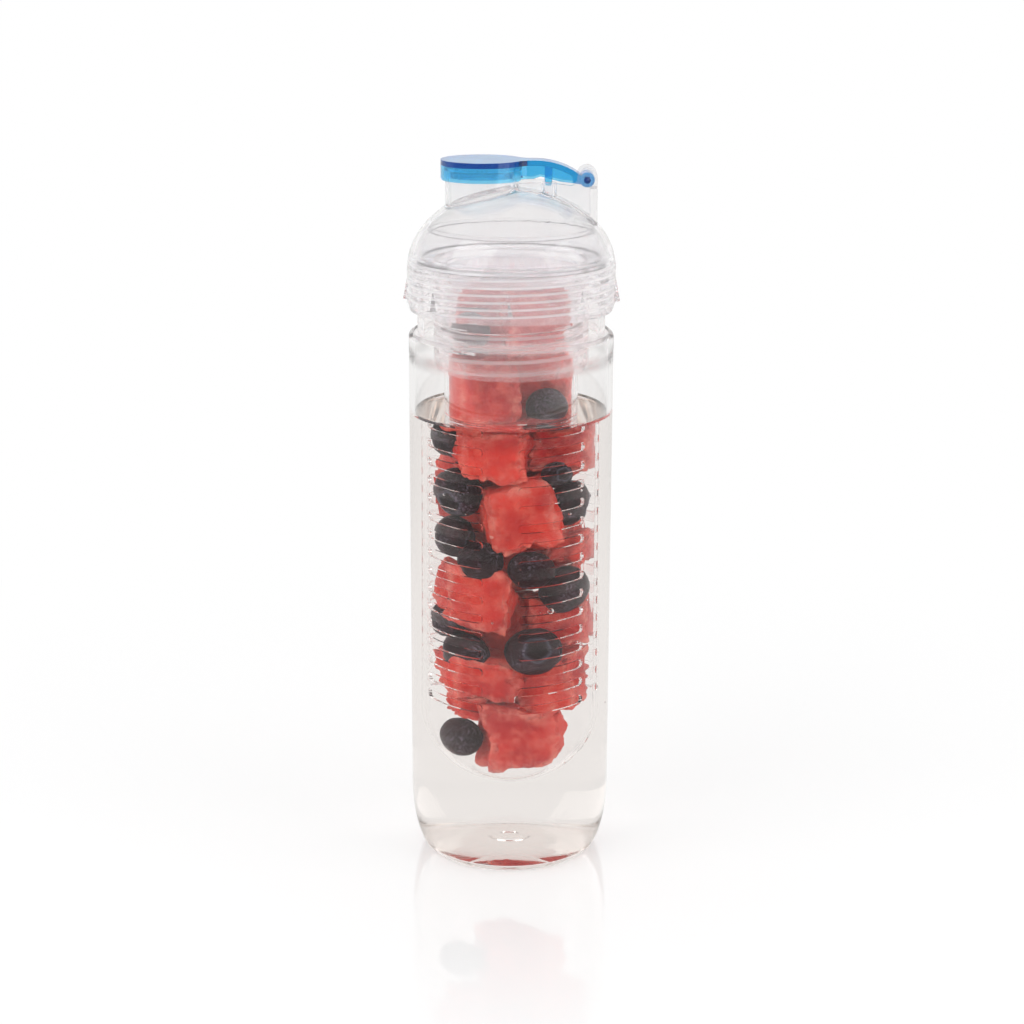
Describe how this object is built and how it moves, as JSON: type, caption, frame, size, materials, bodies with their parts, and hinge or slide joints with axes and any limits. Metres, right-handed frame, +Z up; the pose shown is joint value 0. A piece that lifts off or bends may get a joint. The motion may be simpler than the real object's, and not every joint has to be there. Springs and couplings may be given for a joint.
{
  "type": "fruit infuser water bottle",
  "caption": "Clear water bottle with a domed screw lid, drinking spout, hinged flip cap and a slotted fruit basket screwed into a collar under the lid.",
  "frame": {"origin": "centre of the bottle's base, on the surface that it stands on", "axes": "+Z up along the bottle's axis, -X towards the spout and flip cap, +X towards the cap's hinge"},
  "size_m": [0.0738, 0.0738, 0.2455],
  "materials": {
    "clear_plastic": "clear, polished, moulded",
    "lid_plastic": "clear, polished, moulded",
    "basket_plastic": "clear, polished, moulded",
    "milky_plastic": "milky translucent, satin",
    "blue_plastic": "translucent blue, polished",
    "silicone": "translucent silicone, matt"
  },
  "bodies": {
    "bottle": {"bottle_body": "clear_plastic"},
    "neck_ring": {"neck_seal": "silicone"},
    "lid": {"lid": "lid_plastic", "infuser_collar": "milky_plastic", "collar_seal": "silicone"},
    "strainer": {"strainer": "milky_plastic"},
    "basket": {"infuser_basket": "basket_plastic"},
    "cap": {"flip_cap": "blue_plastic", "hinge_pin": "blue_plastic", "spout_seal": "silicone"}
  },
  "joints": [
    {"name": "lid_rise", "type": "slide", "parent": "bottle", "child": "neck_ring", "axis": [0, 0, 1], "range_m": [0, 0.0126]},
    {"name": "lid_turn", "type": "hinge", "parent": "neck_ring", "child": "lid", "pos_m": [0, 0, 0.2106], "axis": [0, 0, 1], "range_deg": [0, 936]},
    {"name": "basket_drop", "type": "slide", "parent": "lid", "child": "strainer", "axis": [0, 0, -1], "range_m": [0, 0.014]},
    {"name": "basket_turn", "type": "hinge", "parent": "strainer", "child": "basket", "pos_m": [0, 0, 0.19], "axis": [0, 0, -1], "range_deg": [0, 1230]},
    {"name": "cap_flip", "type": "hinge", "parent": "lid", "child": "cap", "pos_m": [0.0252, 0, 0.2392], "axis": [0, 1, 0], "range_deg": [0, 130]}
  ],
  "couplings": [
    {"joint": "lid_rise", "follows": "lid_turn", "m_per_rad": 0.00076394},
    {"joint": "basket_drop", "follows": "basket_turn", "m_per_rad": 0.00064458}
  ]
}
